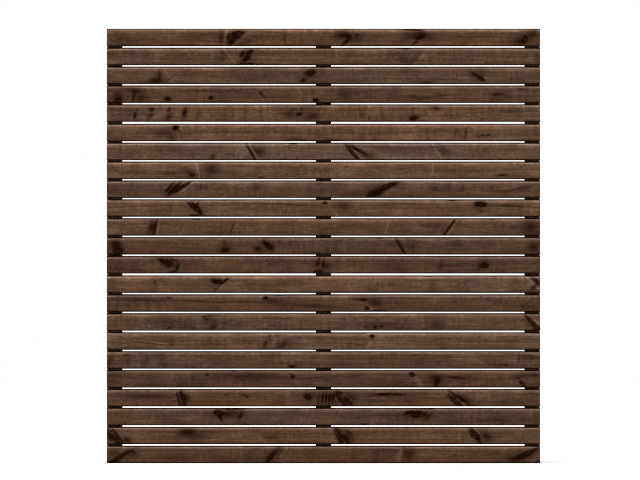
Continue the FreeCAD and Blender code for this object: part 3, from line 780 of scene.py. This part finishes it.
KNOT_BROWN = linear(50, 28, 15)
KNOT_BLACK = linear(14, 3, 1)
WOOD_ROUGHNESS = 0.50
WOOD_SPECULAR = 0.12
DOT_PITCH = 8.285
FIRST_DOT = (0.0002, 0.0, 0.413)
DOTS_PER_METRE = 2 * math.pi / (DOT_PITCH * MM)
BUMP_DEPTH = 0.35 * MM
BUMP_STRENGTH = 0.6


def make_pine_group():
    """Stained pine: growth rings round a pith, fibres, blotches, cross smudges, hue patches and marks."""
    inputs = [
        ("Point", "NodeSocketVector"), ("Offset", "NodeSocketVector"), ("Pith", "NodeSocketVector"),
        ("Tone", "NodeSocketFloat"), ("Dark", "NodeSocketVector"), ("Pale", "NodeSocketVector"),
        ("Hue", "NodeSocketVector"),
    ]
    outputs = [
        ("Color", "NodeSocketColor"), ("Roughness", "NodeSocketFloat"), ("Specular", "NodeSocketFloat"),
        ("Height", "NodeSocketFloat"),
    ]
    group, given, result = new_group("StainedPine", inputs, outputs)

    def times(first, second):
        return maths(group, "MULTIPLY", first, second)

    def plus(first, second):
        return maths(group, "ADD", first, second)

    def minus(first, second):
        return maths(group, "SUBTRACT", first, second)

    def larger(first, second):
        return maths(group, "MAXIMUM", first, second)

    def step(value, low, high, to_low=0.0, to_high=1.0):
        return smooth_range(group, value, low, high, to_low, to_high)

    def noise(name, vector):
        return scaled_noise(group, vector, *PINE_NOISES[name])

    def channels(vector):
        split = add_node(group, "ShaderNodeSeparateXYZ", None, {0: vector}).outputs
        return split["X"], split["Y"], split["Z"]

    def tinted(colour, share, tint):
        return mix_colour(group, share, colour, mix_colour(group, 1.0, colour, tint, "MULTIPLY"))

    g = given.outputs
    point = vector_maths(group, "ADD", g["Point"], g["Offset"])
    knot, shade, push = channels(g["Dark"])
    line, glow, dots = channels(g["Pale"])
    warm, red, ash = channels(g["Hue"])

    # Grain runs along x. A slow wander and the knots push it up and down.
    drift = times(minus(noise("wander", point), 0.5), WANDER_REACH)
    shift = add_node(group, "ShaderNodeCombineXYZ", None, {"Y": drift, "Z": plus(drift, push)}).outputs[0]
    grain = vector_maths(group, "ADD", point, shift)

    # Growth rings: shells round the pith line, of uneven width.
    from_pith = vector_maths(group, "SUBTRACT", vector_maths(group, "ADD", g["Point"], shift), g["Pith"])
    across = vector_maths(group, "MULTIPLY", from_pith, (ALONG_PITH, 1.0, 1.0))
    radius = add_node(group, "ShaderNodeVectorMath", {"operation": "LENGTH"}, {0: across}).outputs["Value"]
    shell = add_node(group, "ShaderNodeCombineXYZ", None, {"X": radius, "Y": g["Tone"]}).outputs[0]
    places = {"rings": shell, "fibres": grain, "streaks": grain, "blotches": point, "mottle": point}
    parts = {name: noise(name, place) for name, place in places.items()}
    fibres = parts["fibres"]

    # Tone: 0 is the darkest stain, 1 the palest. Saw smudges cross the grain in some places.
    tone = g["Tone"]
    for name, weight in TONE_WEIGHTS.items():
        tone = plus(tone, times(minus(parts[name], 0.5), weight))
    smudges = times(minus(noise("smudges", point), 0.5), step(noise("smudged", point), 0.42, 0.68))
    tone = plus(tone, times(smudges, SMUDGE_WEIGHT))
    stain = add_node(group, "ShaderNodeValToRGB", None, {0: tone})
    stops = stain.color_ramp.elements
    stops[0].position, stops[0].color = 0.05, PINE_DARK
    stops[1].position, stops[1].color = 0.95, PINE_PALE
    stops.new(0.5).color = PINE_MIDDLE

    # Hue: patches of redder, warmer and greyer wood, by noise and by the marks.
    hue = noise("hue", point)
    redder = times(step(hue, 0.50, 0.72), REDDER_SHARE)
    greyer = times(step(hue, 0.52, 0.30), GREYER_SHARE)
    colour = stain.outputs["Color"]
    patches = ((redder, TINT_RED), (greyer, TINT_ASH), (warm, TINT_WARM), (red, TINT_RED), (ash, TINT_ASH))
    for share, tint in patches:
        colour = tinted(colour, share, tint)

    # Pale marks, then dark ones. Their fields fade from the middle, and a noisy step gives them ragged edges.
    ragged_edge = times(minus(noise("ragged", grain), 0.5), RAGGEDNESS)
    crisp = step(plus(line, times(ragged_edge, 0.5)), 0.04, 0.52)
    colour = tinted(colour, times(crisp, step(fibres, 0.25, 0.55, 0.75)), LINE_GAIN)
    # The glow field holds pale wood marks and also the painted highlight on the upper front arris.
    colour = tinted(colour, times(glow, step(fibres, 0.25, 0.55, 0.90)), PALE_AND_HIGHLIGHT_GAIN)
    halo = times(step(knot, 0.0, 0.5), HALO_SHARE)
    # The shade field also holds the painted shade on the lower front arris.
    soft = plus(times(shade, SHADE_GAIN), halo)
    colour = mix_colour(group, soft, colour, SHADE_COLOUR)

    # A knot has a black rim, and flecks of black in dark red-brown wood inside it.
    edge = plus(knot, ragged_edge)
    core = step(edge, 0.14, 0.62)
    flecks = step(noise("flecks", point), 0.44, 0.60)
    rim = step(edge, 0.85, 0.45)
    colour = mix_colour(group, core, colour, mix_colour(group, larger(flecks, rim), KNOT_BROWN, KNOT_BLACK))
    darkness = larger(core, soft)

    # Planer dents: a faint square grid of small dark dots.
    from_dot = vector_maths(group, "SUBTRACT", g["Point"], FIRST_DOT)
    turns = vector_maths(group, "MULTIPLY", from_dot, (DOTS_PER_METRE,) * 3)
    waves = add_node(group, "ShaderNodeVectorMath", {"operation": "COSINE"}, {0: turns}).outputs["Vector"]
    along_x, _, along_z = channels(waves)
    dotted = times(step(maths(group, "MINIMUM", along_x, along_z), -0.2, 0.4), dots)
    colour = mix_colour(group, times(dotted, DOT_SHARE), colour, SHADE_COLOUR)

    # Knots and stained shades are rougher than the open grain, hardly shine, and lie a little lower.
    rough = plus(WOOD_ROUGHNESS, times(darkness, DARK_ROUGHNESS))
    rough = plus(rough, times(minus(fibres, 0.5), FIBRE_ROUGHNESS))
    specular = times(larger(minus(1.0, darkness), 0.0), WOOD_SPECULAR)
    height = plus(times(fibres, 0.5), times(parts["rings"], 0.5))
    height = minus(height, times(darkness, SUNK_SHARE))
    values = {"Color": colour, "Roughness": rough, "Specular": specular, "Height": height}
    for name, value in values.items():
        group.links.new(value, result.inputs[name])
    return group


pine_group = make_pine_group()


def pine_material(name, number, tone, pith, upright=False):
    """The stained pine of one board. The number picks its own piece of the endless noise."""
    material = bpy.data.materials.new(name)
    material.use_nodes = True
    tree = material.node_tree
    shader = tree.nodes["Principled BSDF"]
    point = add_node(tree, "ShaderNodeTexCoord").outputs["Object"]
    if upright:
        turn = {"Vector": point, "Rotation": (0, math.pi / 2, 0)}
        point = add_node(tree, "ShaderNodeMapping", None, turn).outputs[0]
    inputs = {
        "Point": point,
        "Offset": (3.1 * number, 1.7 * number, 0.9 * number),
        "Pith": pith,
        "Tone": tone,
    }
    for socket, field in (("Dark", "dark_marks"), ("Pale", "pale_marks"), ("Hue", "hue_marks")):
        inputs[socket] = add_node(tree, "ShaderNodeAttribute", {"attribute_name": field}).outputs["Vector"]
    pine = add_node(tree, "ShaderNodeGroup", {"node_tree": pine_group}, inputs)
    tree.links.new(pine.outputs["Color"], shader.inputs["Base Color"])
    tree.links.new(pine.outputs["Roughness"], shader.inputs["Roughness"])
    tree.links.new(pine.outputs["Specular"], shader.inputs["Specular IOR Level"])
    inputs = {"Strength": BUMP_STRENGTH, "Distance": BUMP_DEPTH, "Height": pine.outputs["Height"]}
    bump = add_node(tree, "ShaderNodeBump", None, inputs)
    tree.links.new(bump.outputs["Normal"], shader.inputs["Normal"])
    return material


# ---------------------------------------------------------------- boards

ARC_POINTS = 7
FRONT_STEP = 2.6
OTHER_STEP = 5.0
COARSE_STEP = 11.0
FINE_STEP = 2.6
BAKE_STRIPS = 3
UV_MARGIN = 0.004
END_ROUGHNESS = 0.15
END_RIPPLE = 0.10
STRIP_GAP = 4.0
# The rings of a board's closed ends, as shares of its section, and where the ends lie on the UV map (mm).
CAP_SHARES = (0.93, 0.72, 0.48, 0.24)
CAP_GAP = 14
CAP_MARGIN = 30
CAP_LEFT = {0: 50, -1: 150}
BOARD_SHARP = math.radians(50)
CUT_CLEARANCE = 0.8
SHORTEST_STEP = 1.2
# Relief of the boards (mm): planer wobble, worn arrises, sunk knots with a crack along them, chips.
PLANED_DEPTH = 0.03
WOBBLE_DEPTH = 0.02
WEAR_DEPTH = 0.05
KNOT_DEPTH = 0.22
CRACK_DEPTH = 0.30
CHIP_DEPTH = 1.3


def corner_arc(before, corner, after, radius):
    """Centre of the round at a corner, and its first and last angle."""
    back = (before - corner) / np.linalg.norm(before - corner)
    ahead = (after - corner) / np.linalg.norm(after - corner)
    half = math.acos(np.clip(back @ ahead, -1, 1)) / 2
    middle = (back + ahead) / np.linalg.norm(back + ahead)
    centre = corner + middle * radius / math.sin(half)
    start = corner + back * radius / math.tan(half) - centre
    sweep = math.pi - 2 * half
    first = math.atan2(start[1], start[0])
    return centre, first, first + sweep


def rounded_outline(corners, radius, steps):
    """A closed outline (anticlockwise) with rounded corners: points, outward normals, how round each is."""
    corners = [np.array(corner, float) for corner in corners]
    count = len(corners)
    arcs = [corner_arc(corners[i - 1], corners[i], corners[(i + 1) % count], radius) for i in range(count)]
    points, normals, roundness = [], [], []
    for i, (centre, first, last) in enumerate(arcs):
        for k in range(ARC_POINTS):
            share = k / (ARC_POINTS - 1)
            angle = first + (last - first) * share
            direction = np.array((math.cos(angle), math.sin(angle)))
            points.append(centre + direction * radius)
            normals.append(direction)
            roundness.append(math.sin(math.pi * share))
        next_centre, next_first, _ = arcs[(i + 1) % count]
        end = next_centre + radius * np.array((math.cos(next_first), math.sin(next_first)))
        start = points[-1]
        parts = max(1, round(np.linalg.norm(end - start) / steps[i]))
        for k in range(1, parts):
            points.append(start + (end - start) * k / parts)
            normals.append(direction)
            roundness.append(0.0)
    return np.array(points), np.array(normals), np.array(roundness)


def wave_noise(rng, count=7):
    """A smooth random function of two lengths in mm, roughly from -1 to 1."""
    along = rng.uniform(0.004, 0.05, count)
    around = rng.uniform(0.01, 0.09, count)
    phase = rng.uniform(0, 2 * math.pi, count)

    def value(x, s):
        total = 0.0
        for a, b, c in zip(along, around, phase):
            total = total + np.sin(2 * math.pi * (a * x + b * s) + c)
        return total / math.sqrt(count)
    return value


def station_list(low, high, busy):
    """Places along a board: close together in the busy ranges, and one at each cut between bake strips."""
    cuts = [low + (high - low) * k / BAKE_STRIPS for k in range(BAKE_STRIPS + 1)]
    places = set(np.arange(low, high, COARSE_STEP).tolist())
    for start, end in busy:
        places.update(np.arange(max(low, start), min(high, end), FINE_STEP).tolist())
    kept = []
    for place in sorted(places):
        clear_of_cuts = min(abs(place - cut) for cut in cuts) > CUT_CLEARANCE
        if clear_of_cuts and (not kept or place - kept[-1] > SHORTEST_STEP):
            kept.append(place)
    return np.array(sorted(kept + cuts))


def board_relief(x, s, height, roundness, marks, rng):
    """How far (mm) the surface lies inside the true section: wobble, worn arrises, sunk knots, chips."""
    wobble = wave_noise(rng)
    wear = wave_noise(rng)
    depth = PLANED_DEPTH + WOBBLE_DEPTH * wobble(x, s)
    depth = depth + roundness * (WEAR_DEPTH + WEAR_DEPTH * wear(2.5 * x, s))
    for mark in marks["knot"]:
        along, across, _ = mark_reach(mark, x, height)
        force = mark[-1]
        if mark[1] >= CHIP_HEIGHT:
            depth = depth + force * CHIP_DEPTH * np.exp(-1.2 * (along ** 4 + across ** 2))
            continue
        depth = depth + force * KNOT_DEPTH * np.exp(-1.6 * (along ** 2 + across ** 2))
        depth = depth + force * CRACK_DEPTH * np.exp(-30 * across ** 2 - 3 * along ** 2)
    return np.clip(depth, 0.0, None)


def strip_map(stations, s, girth, scale):
    """UV corners of the sides: the board is cut into stacked strips, so that its long map is used well."""
    length = (stations[-1] - stations[0]) / BAKE_STRIPS
    strip = np.minimum(BAKE_STRIPS - 1, ((stations[:-1] - stations[0] + 0.5) / length).astype(int))
    left = (stations[:-1] - stations[0] - strip * length) * scale + UV_MARGIN
    right = (stations[1:] - stations[0] - strip * length) * scale + UV_MARGIN
    foot = UV_MARGIN + strip * (girth + STRIP_GAP) * scale
    low = foot[:, None] + s[None, :-1] * scale
    high = foot[:, None] + s[None, 1:] * scale
    corners = np.zeros((*low.shape, 4, 2))
    for k, (u, v) in enumerate(((left, low), (left, high), (right, high), (right, low))):
        corners[:, :, k, 0] = u[:, None]
        corners[:, :, k, 1] = v
    return corners.reshape(-1, 2)


def board_mesh(name, outline, normals, roundness, stations, marks, seed):
    """A board along x (mm): its section at every station, closed ends with uneven end grain, and UVs."""
    rng = np.random.default_rng(seed)
    sides = np.roll(outline, -1, axis=0) - outline
    s = np.concatenate(([0.0], np.cumsum(np.linalg.norm(sides, axis=1))))
    girth = s[-1]
    count = len(outline)
    x = stations[:, None]
    height = outline[None, :, 1]
    depth = board_relief(x, s[None, :-1], height, roundness[None, :], marks, rng)
    rings = np.zeros((len(stations), count, 3))
    rings[:, :, 0] = x
    rings[:, :, 1:] = outline[None] - normals[None] * depth[:, :, None]
    index = np.arange(len(stations) * count).reshape(-1, count)
    ahead = np.roll(index, -1, axis=1)
    quads = np.stack((index[:-1], ahead[:-1], ahead[1:], index[1:]), axis=2).reshape(-1, 4)
    length = (stations[-1] - stations[0]) / BAKE_STRIPS
    tall = BAKE_STRIPS * (girth + STRIP_GAP) + CAP_MARGIN
    scale = (1 - 2 * UV_MARGIN) / max(length, tall)
    uvs = strip_map(stations, s, girth, scale)

    # Ends: rings that shrink to the middle of the section, a little hollow and uneven.
    middle = outline.mean(axis=0)
    vertices = rings.reshape(-1, 3).tolist()
    faces = quads.tolist()
    end_uvs = []
    cap_foot = UV_MARGIN + (BAKE_STRIPS * (girth + STRIP_GAP) + CAP_GAP) * scale
    for end in (0, -1):
        outer = index[end].tolist()
        inward = 1 if end == 0 else -1
        cap_left = CAP_LEFT[end]
        new_faces = []
        for share in CAP_SHARES:
            inner = list(range(len(vertices), len(vertices) + count))
            for y, z in middle + (rings[end, :, 1:] - middle) * share:
                ripple = math.sin(1.9 * z + seed) * math.sin(2.3 * y + 2 * seed)
                rough = END_ROUGHNESS + END_RIPPLE * ripple
                vertices.append([stations[end] + inward * rough, y, z])
            for j in range(count):
                k = (j + 1) % count
                new_faces.append([outer[j], inner[j], inner[k], outer[k]])
            outer = inner
        new_faces.append(outer[::-1])
        if end == -1:
            new_faces = [face[::-1] for face in new_faces]
        for face in new_faces:
            for corner in face:
                _, y, z = vertices[corner]
                end_uvs.append(((cap_left + z - middle[1]) * scale, cap_foot + (y - middle[0]) * scale))
        faces += new_faces

    mesh = bpy.data.meshes.new(name)
    vertices = np.array(vertices)
    mesh.from_pydata((vertices * MM).tolist(), [], faces)
    layer = mesh.uv_layers.new(name="OFBake")
    layer.data.foreach_set("uv", np.concatenate((uvs, np.array(end_uvs))).astype(np.float32).ravel())
    mesh.shade_smooth()
    mesh.set_sharp_from_angle(angle=BOARD_SHARP)
    return mesh


def mesh_points(mesh):
    """The mesh's points in mm."""
    points = np.zeros(3 * len(mesh.vertices), np.float32)
    mesh.vertices.foreach_get("co", points)
    return points.reshape(-1, 3) / MM


def store_fields(mesh, field):
    """Keeps the fields of the marks on the mesh, three to an attribute, for its material to read."""
    # On a slat, glow also holds the painted highlight on the upper front arris, and shade the painted shade
    # on the lower one.
    packs = {
        "dark_marks": ("knot", "shade", "push"),
        "pale_marks": ("line", "glow", "dots"),
        "hue_marks": ("warm", "red", "ash"),
    }
    for name, kinds in packs.items():
        values = np.stack([field[kind] for kind in kinds], axis=1).astype(np.float32)
        attribute = mesh.attributes.new(name, "FLOAT_VECTOR", "POINT")
        attribute.data.foreach_set("vector", values.ravel())


def turned_mesh(profile, places, segments, spot=(0.93, 0.985), spot_size=0.01):
    """Closed bodies turned about Y, one at each (x, z). The profile's (radius, y) starts and ends at 0."""
    vertices, faces, uvs = [], [], []
    inner = profile[1:-1]
    for x, z in places:
        base = len(vertices)
        vertices += [(x, profile[0][1], z), (x, profile[-1][1], z)]
        for radius, y in inner:
            for k in range(segments):
                angle = 2 * math.pi * k / segments
                vertices.append((x + radius * math.cos(angle), y, z + radius * math.sin(angle)))
        ring = [base + 2 + i * segments for i in range(len(inner))]
        for k in range(segments):
            m = (k + 1) % segments
            faces.append((base, ring[0] + k, ring[0] + m))
            faces.append((base + 1, ring[-1] + m, ring[-1] + k))
            for low, high in zip(ring, ring[1:]):
                faces.append((low + k, high + k, high + m, low + m))
    mesh = bpy.data.meshes.new("turned")
    mesh.from_pydata((np.array(vertices) * MM).tolist(), [], faces)
    layer = mesh.uv_layers.new(name="OFBake")
    for face in faces:
        uvs += [(spot[0] + spot_size * (k // 2), spot[1] + spot_size * (k % 2)) for k in range(len(face))]
    layer.data.foreach_set("uv", np.array(uvs, np.float32).ravel())
    tidy = bmesh.new()
    tidy.from_mesh(mesh)
    bmesh.ops.recalc_face_normals(tidy, faces=tidy.faces[:])
    tidy.to_mesh(mesh)
    tidy.free()
    mesh.shade_smooth()
    return mesh


def drill(mesh, cutter_mesh):
    """The mesh with the cutters taken out of it."""
    board = bpy.data.objects.new("board_to_drill", mesh)
    cutter = bpy.data.objects.new("drill", cutter_mesh)
    for thing in (board, cutter):
        bpy.context.scene.collection.objects.link(thing)
    holes = board.modifiers.new("Holes", "BOOLEAN")
    holes.operation = "DIFFERENCE"
    holes.solver = "EXACT"
    holes.object = cutter
    evaluated = board.evaluated_get(bpy.context.evaluated_depsgraph_get())
    drilled = bpy.data.meshes.new_from_object(evaluated)
    drilled.name = mesh.name
    for thing in (board, cutter):
        bpy.data.objects.remove(thing)
    bpy.data.meshes.remove(cutter_mesh)
    drilled.set_sharp_from_angle(angle=BOARD_SHARP)
    return drilled


def add_piece(name, mesh, material, node):
    """A finished piece in place of a node of the frame."""
    mesh.materials.append(material)
    piece = bpy.data.objects.new(name, mesh)
    bpy.context.scene.collection.objects.link(piece)
    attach(piece, ROOT)
    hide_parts(node)


# ---------------------------------------------------------------- slats

# How pale each slat is, from 0 (darkest stain) to 1.
SLAT_TONES = (
    0.46, 0.50, 0.50, 0.42, 0.52, 0.56, 0.56, 0.58, 0.50, 0.56, 0.46, 0.40,
    0.40, 0.54, 0.42, 0.52, 0.56, 0.46, 0.36, 0.42, 0.44, 0.50, 0.40,
)

# Painted highlight on the upper front arris, softer below than above, and painted shade on the lower front
# arris, both only near the front face. Heights are in mm above the slat's lowest edge.
PAINTED_HIGHLIGHT_HEIGHT = 65.0
PAINTED_HIGHLIGHT_ABOVE = 3.0
PAINTED_HIGHLIGHT_BELOW = 7.0
PAINTED_HIGHLIGHT_SHARE = 0.92
PAINTED_SHADE_HEIGHT = 5.0
PAINTED_SHADE_SHARE = 0.55
FRONT_SHARE = 0.6


def corner_overshoot(radius, slant):
    """How far a sharp lower front corner of the slanted section would reach below the rounded one."""
    half = (math.pi / 2 - math.radians(slant)) / 2
    return radius * (1 / math.tan(half) - 1)


def screw_heights(number):
    """Heights of the two screws of a crossing, in mm."""
    low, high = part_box(f"slat_{number:02d}")
    rise = SLAT_THICKNESS * math.tan(math.radians(SLAT_SLANT))
    middle = (low.z + high.z) / 2 / MM + rise / 2
    return middle - SCREW_SPACING / 2, middle + SCREW_SPACING / 2


def batten_middle_x(batten):
    """Middle of an upright's width, in mm."""
    low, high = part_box(batten)
    return (low.x + high.x) / 2 / MM


def pilot_cutters(number, back):
    """The blind holes that the screws leave in the back of a slat."""
    radius = SCREW_RADIUS + FIT_CLEARANCE
    tip_y = HEAD_TOP_Y - SCREW_LENGTH - PILOT_EXTRA
    profile = ((0, back + 1), (radius, back + 1), (radius, tip_y), (0, tip_y))
    places = [(batten_middle_x(batten), z) for batten in BATTENS for z in screw_heights(number)]
    return turned_mesh(profile, places, 16)


def slat_outline(front, back, top):
    """The slanted section with rounded corners. Its lowest point lies at height 0 and its highest at top."""
    rise = SLAT_THICKNESS * math.tan(math.radians(SLAT_SLANT))
    over = corner_overshoot(SLAT_ARRIS, SLAT_SLANT)
    corners = ((front, -over), (back, rise - over), (back, top + over), (front, top - rise + over))
    steps = (OTHER_STEP, OTHER_STEP, OTHER_STEP, FRONT_STEP)
    return rounded_outline(corners, SLAT_ARRIS, steps)


def add_wear(field, height, in_front):
    """Adds a painted highlight on the upper front arris and painted shade on the lower one to the fields of a
    slat.
    """
    # worn: a painted highlight on the upper front arris, added to the glow field.
    reach = np.where(height > PAINTED_HIGHLIGHT_HEIGHT, PAINTED_HIGHLIGHT_ABOVE, PAINTED_HIGHLIGHT_BELOW)
    worn = PAINTED_HIGHLIGHT_SHARE * np.exp(-((height - PAINTED_HIGHLIGHT_HEIGHT) / reach) ** 2) * in_front
    field["glow"] += worn * (1 - field["glow"])
    # stained: painted shade on the lower front arris, added to the shade field.
    stained = PAINTED_SHADE_SHARE * np.exp(-(height / PAINTED_SHADE_HEIGHT) ** 4) * in_front
    field["shade"] += stained * (1 - field["shade"])


def make_slat(number):
    """One slat: a rounded, slanted board with its own marks."""
    node = f"slat_{number:02d}"
    low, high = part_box(node)
    front, back = low.y / MM, high.y / MM
    outline, normals, roundness = slat_outline(front, back, (high.z - low.z) / MM)
    marks = slat_marks(number)
    stations = station_list(low.x / MM, high.x / MM, busy_ranges(marks, ("knot", "line"), 2))
    mesh = board_mesh(f"{node}_board", outline, normals, roundness, stations, marks, number)
    mesh.transform(Matrix.Translation((0, 0, low.z)))
    mesh = drill(mesh, pilot_cutters(number, back))
    points = mesh_points(mesh)
    height = points[:, 2] - low.z / MM
    field = mark_fields(points[:, 0], height, marks)
    add_wear(field, height, points[:, 1] < front + FRONT_SHARE * SLAT_THICKNESS)
    store_fields(mesh, field)
    pith = (0.0, 0.03 * math.sin(2.4 * number), low.z + 0.036 + 0.03 * math.cos(1.7 * number))
    material = pine_material(f"Pine_{number:02d}", number, SLAT_TONES[number - 1], pith)
    add_piece(f"{node}_board", mesh, material, node)


for slat_number in range(1, SLAT_COUNT + 1):
    make_slat(slat_number)

# ---------------------------------------------------------------- uprights

BATTEN_TONE = 0.34
KNOTS_PER_BATTEN = 7
PATCHES_PER_BATTEN = 5
PATCH_REACH = 150


def random_marks(rng, length, width):
    """A few small knots with soft dark wood round them, for a board that the photograph doesn't show."""
    marks = {kind: [] for kind in MARK_KINDS}
    for place in rng.uniform(60, length - 60, KNOTS_PER_BATTEN):
        across = rng.uniform(10, width - 10)
        size = rng.uniform(4, 9)
        lean = rng.uniform(-6, 6)
        marks["knot"].append((place - size, across, place + size, across + lean, size, rng.uniform(0.6, 1.0)))
        marks["shade"].append((place - 3 * size, across, place + 3 * size, across, 2 * size, 0.4))
    middle = width / 2
    for place in rng.uniform(100, length - 100, PATCHES_PER_BATTEN):
        kind = str(rng.choice(("warm", "ash", "red")))
        marks[kind].append((place - PATCH_REACH, middle, place + PATCH_REACH, middle, middle, 0.5))
    return marks


def make_batten(number, node):
    """One upright: a rounded board that stands on its end, with two countersunk holes at each slat."""
    low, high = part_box(node)
    front, back = low.y / MM, high.y / MM
    corners = ((front, 0), (back, 0), (back, BATTEN_WIDTH), (front, BATTEN_WIDTH))
    outline, normals, roundness = rounded_outline(corners, BATTEN_ARRIS, (OTHER_STEP,) * 4)
    seed = 40 + number
    length = (high.z - low.z) / MM
    marks = random_marks(np.random.default_rng(seed), length, BATTEN_WIDTH)
    stations = station_list(0.0, length, busy_ranges(marks, ("knot",), 1))
    mesh = board_mesh(f"{node}_board", outline, normals, roundness, stations, marks, seed)
    stand_up = Matrix(((0, 0, -1, high.x), (0, 1, 0, 0), (1, 0, 0, low.z), (0, 0, 0, 1)))
    mesh.transform(stand_up)
    hole = SCREW_RADIUS + SHANK_CLEARANCE
    mouth = HEAD_RADIUS + HEAD_RECESS + FIT_CLEARANCE
    cone_end = back - mouth + hole
    profile = ((0, back + 1), (mouth + 1, back + 1), (hole, cone_end), (hole, front - 1), (0, front - 1))
    middle = batten_middle_x(node)
    places = [(middle, z) for slat in range(1, SLAT_COUNT + 1) for z in screw_heights(slat)]
    mesh = drill(mesh, turned_mesh(profile, places, 24))
    points = mesh_points(mesh)
    store_fields(mesh, mark_fields(points[:, 2] - low.z / MM, high.x / MM - points[:, 0], marks))
    pith = (0.0, 0.05, -middle * MM + 0.01)
    material = pine_material(f"Upright_{number}", seed, BATTEN_TONE, pith, upright=True)
    add_piece(f"{node}_board", mesh, material, node)


for batten_number, batten in enumerate(BATTENS):
    make_batten(batten_number, batten)

# ---------------------------------------------------------------- screws

SCREW_SEGMENTS = 24
SHANK_RADIUS = 1.65
CORE_RADIUS = 1.40
THREAD_START = 17.0
THREAD_PITCH = 2.4
THREAD_STEP = 0.4
TIP_LENGTH = 6.0
DRIVE_LOBES = 6
LOBE_SHARE = 0.12
RIDGE_SHARE = 0.28
LAST_RING_GAP = 0.3
SCREW_SHARP = math.radians(35)
# Rings of the drive, (depth, share of its radius), then of the head and shank, (depth, radius), in mm.
DRIVE_RINGS = ((DRIVE_DEPTH - 0.1, 0.78), (DRIVE_DEPTH / 2, 0.86), (0.12, 0.92), (0.03, 0.98))
HEAD_RINGS = (
    (0.0, 2.5), (0.0, HEAD_RADIUS - 0.45), (0.04, HEAD_RADIUS - 0.2), (0.16, HEAD_RADIUS - 0.18),
    (0.5, HEAD_RADIUS - 0.52), (HEAD_RADIUS - SCREW_RADIUS, SCREW_RADIUS), (2.9, SHANK_RADIUS),
    (THREAD_START - 1.0, SHANK_RADIUS), (THREAD_START, CORE_RADIUS),
)


def thread_radius(depth, angle):
    """Radius of the threaded part: a sharp ridge that winds round a core, and both taper at the tip."""
    phase = (depth / THREAD_PITCH - angle / (2 * math.pi)) % 1.0
    ridge = max(0.0, 1 - abs(phase - 0.5) / RIDGE_SHARE)
    run_in = min(1.0, (depth - THREAD_START) / THREAD_PITCH)
    taper = min(1.0, (SCREW_LENGTH - depth) / TIP_LENGTH)
    return taper * (CORE_RADIUS + (SCREW_RADIUS - CORE_RADIUS) * ridge * run_in)


def screw_rings():
    """Rings of one screw from the middle of its drive to its tip: (depth, function of the angle)."""
    def star(share):
        radius = DRIVE_RADIUS * share
        return lambda angle: radius * (1 - LOBE_SHARE + LOBE_SHARE * math.cos(DRIVE_LOBES * angle))

    rings = [(depth, star(share)) for depth, share in DRIVE_RINGS]
    rings += [(depth, lambda angle, radius=radius: radius) for depth, radius in HEAD_RINGS]
    depth = THREAD_START + THREAD_STEP
    while depth < SCREW_LENGTH - LAST_RING_GAP:
        rings.append((depth, lambda angle, depth=depth: thread_radius(depth, angle)))
        depth += THREAD_STEP
    return rings


def screw_shape():
    """Vertices and faces of one screw, its head's top at the origin and its tip at -Y."""
    rings = screw_rings()
    vertices = [(0.0, -DRIVE_DEPTH, 0.0), (0.0, -SCREW_LENGTH, 0.0)]
    for depth, radius in rings:
        for k in range(SCREW_SEGMENTS):
            angle = 2 * math.pi * k / SCREW_SEGMENTS
            vertices.append((radius(angle) * math.cos(angle), -depth, radius(angle) * math.sin(angle)))
    faces = []
    for k in range(SCREW_SEGMENTS):
        m = (k + 1) % SCREW_SEGMENTS
        last = 2 + (len(rings) - 1) * SCREW_SEGMENTS
        faces.append((0, 2 + m, 2 + k))
        faces.append((1, last + k, last + m))
        for i in range(len(rings) - 1):
            near = 2 + i * SCREW_SEGMENTS
            far = near + SCREW_SEGMENTS
            faces.append((near + k, near + m, far + m, far + k))
    return np.array(vertices), np.array(faces, dtype=object)


def make_screws(node, batten, seed):
    """The screws of one upright, each turned by chance as a driver leaves it."""
    rng = np.random.default_rng(seed)
    shape, faces = screw_shape()
    middle = batten_middle_x(batten)
    vertices, all_faces = [], []
    for slat in range(1, SLAT_COUNT + 1):
        for z in screw_heights(slat):
            turn = rng.uniform(0, 2 * math.pi)
            x_turned = shape[:, 0] * math.cos(turn) - shape[:, 2] * math.sin(turn)
            z_turned = shape[:, 0] * math.sin(turn) + shape[:, 2] * math.cos(turn)
            base = sum(len(part) for part in vertices)
            vertices.append(np.stack((middle + x_turned, HEAD_TOP_Y + shape[:, 1], z + z_turned), axis=1))
            all_faces += [tuple(base + corner for corner in face) for face in faces]
    mesh = bpy.data.meshes.new(f"{node}_set")
    mesh.from_pydata((np.concatenate(vertices) * MM).tolist(), [], all_faces)
    mesh.shade_smooth()
    mesh.set_sharp_from_angle(angle=SCREW_SHARP)
    add_piece(f"{node}_set", mesh, zinc, node)


def screw_material():
    """Yellow-passivated zinc, slightly dull, with blotches of deeper gold."""
    material = bpy.data.materials.new("YellowZinc")
    material.use_nodes = True
    tree = material.node_tree
    shader = tree.nodes["Principled BSDF"]
    point = add_node(tree, "ShaderNodeTexCoord").outputs["Object"]
    patches = scaled_noise(tree, point, (420.0, 420.0, 420.0), 3.0)
    pale, deep = linear(214, 188, 128), linear(176, 132, 66)
    colour = mix_colour(tree, smooth_range(tree, patches, 0.35, 0.65), pale, deep)
    tree.links.new(colour, shader.inputs["Base Color"])
    rough = smooth_range(tree, patches, 0.3, 0.7, 0.28, 0.48)
    tree.links.new(rough, shader.inputs["Roughness"])
    shader.inputs["Metallic"].default_value = 1.0
    return material


zinc = screw_material()
for batten_number, batten in enumerate(BATTENS):
    make_screws(batten.replace("batten", "screws"), batten, 60 + batten_number)
